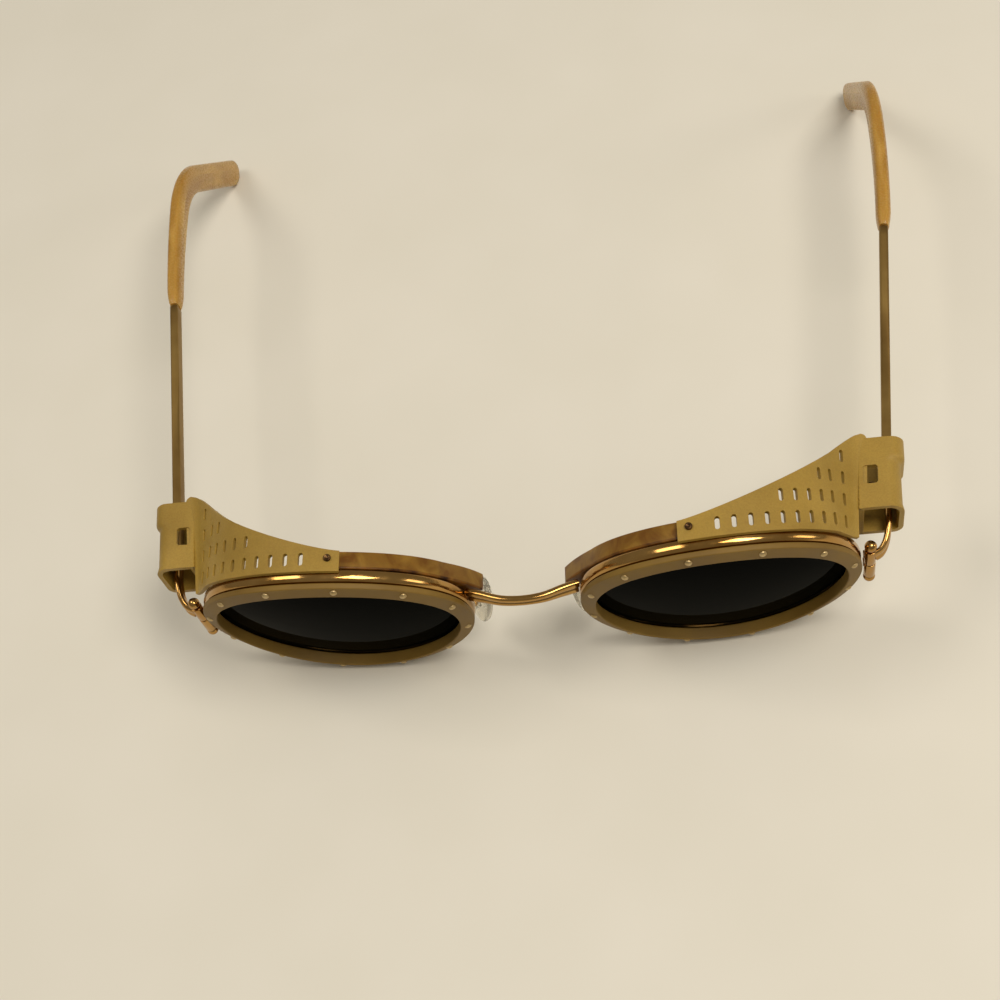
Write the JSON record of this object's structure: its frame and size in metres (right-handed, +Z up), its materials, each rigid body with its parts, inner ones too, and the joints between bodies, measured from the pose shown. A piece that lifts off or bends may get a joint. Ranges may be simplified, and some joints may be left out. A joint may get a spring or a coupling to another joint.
{
  "type": "sunglasses",
  "caption": "Oval wire-rim sunglasses with dark lenses, studded trim rings, a reeded bridge, perforated side shields round the hinges and folding temples.",
  "frame": {"origin": "on the surface the glasses stand on, under the middle of their bounding box", "axes": "+X to the wearer's left, -Y forwards out of the lenses, +Z up"},
  "size_m": [0.1616, 0.1514, 0.051],
  "materials": {
    "polished_gold": "polished rose-gold plating",
    "satin_gold": "satin gold plating",
    "stud_gold": "polished pale gold",
    "dark_steel": "darkened satin",
    "tan_trim": "satin moulded",
    "tan_shield": "smooth matte moulded",
    "amber_acetate": "polished translucent amber",
    "caramel_acetate": "polished translucent caramel",
    "clear_pad": "clear soft plastic",
    "dark_lens": "polished dark grey-green tint"
  },
  "bodies": {
    "front": {"bridge": "polished_gold", "left_brow_guard": "amber_acetate", "left_closing_screw": "polished_gold", "left_end_piece": "polished_gold", "left_eyewire": "polished_gold", "left_hinge_screw": "dark_steel", "left_lens": "dark_lens", "left_lock_block": "polished_gold", "left_pad_arm": "polished_gold", "left_shield_rivet": "dark_steel", "left_side_shield": "tan_shield", "left_stud_01": "stud_gold", "left_stud_02": "stud_gold", "left_stud_03": "stud_gold", "left_stud_04": "stud_gold", "left_stud_05": "stud_gold", "left_stud_06": "stud_gold", "left_stud_07": "stud_gold", "left_stud_08": "stud_gold", "left_stud_09": "stud_gold", "left_stud_10": "stud_gold", "left_stud_11": "stud_gold", "left_stud_12": "stud_gold", "left_trim_ring": "tan_trim", "right_brow_guard": "amber_acetate", "right_closing_screw": "polished_gold", "right_end_piece": "polished_gold", "right_eyewire": "polished_gold", "right_hinge_screw": "dark_steel", "right_lens": "dark_lens", "right_lock_block": "polished_gold", "right_pad_arm": "polished_gold", "right_shield_rivet": "dark_steel", "right_side_shield": "tan_shield", "right_stud_01": "stud_gold", "right_stud_02": "stud_gold", "right_stud_03": "stud_gold", "right_stud_04": "stud_gold", "right_stud_05": "stud_gold", "right_stud_06": "stud_gold", "right_stud_07": "stud_gold", "right_stud_08": "stud_gold", "right_stud_09": "stud_gold", "right_stud_10": "stud_gold", "right_stud_11": "stud_gold", "right_stud_12": "stud_gold", "right_trim_ring": "tan_trim"},
    "left_temple": {"left_temple": "satin_gold", "left_temple_tip": "caramel_acetate"},
    "right_temple": {"right_temple": "satin_gold", "right_temple_tip": "caramel_acetate"},
    "left_pad": {"left_nose_pad": "clear_pad"},
    "right_pad": {"right_nose_pad": "clear_pad"}
  },
  "joints": [
    {"name": "left_temple_fold", "type": "hinge", "parent": "front", "child": "left_temple", "pos_m": [0.06722, -0.05332, 0.02959], "axis": [0, 0, 1], "range_deg": [0, 97]},
    {"name": "right_temple_fold", "type": "hinge", "parent": "front", "child": "right_temple", "pos_m": [-0.06722, -0.05332, 0.02959], "axis": [0, 0, -1], "range_deg": [0, 88]},
    {"name": "left_pad_rock", "type": "hinge", "parent": "front", "child": "left_pad", "pos_m": [0.01213, -0.06198, 0.01497], "axis": [-0.28, 0.175, 0.9439], "range_deg": [-8, 8]},
    {"name": "right_pad_rock", "type": "hinge", "parent": "front", "child": "right_pad", "pos_m": [-0.01213, -0.06198, 0.01497], "axis": [0.28, 0.175, 0.9439], "range_deg": [-8, 8]}
  ]
}
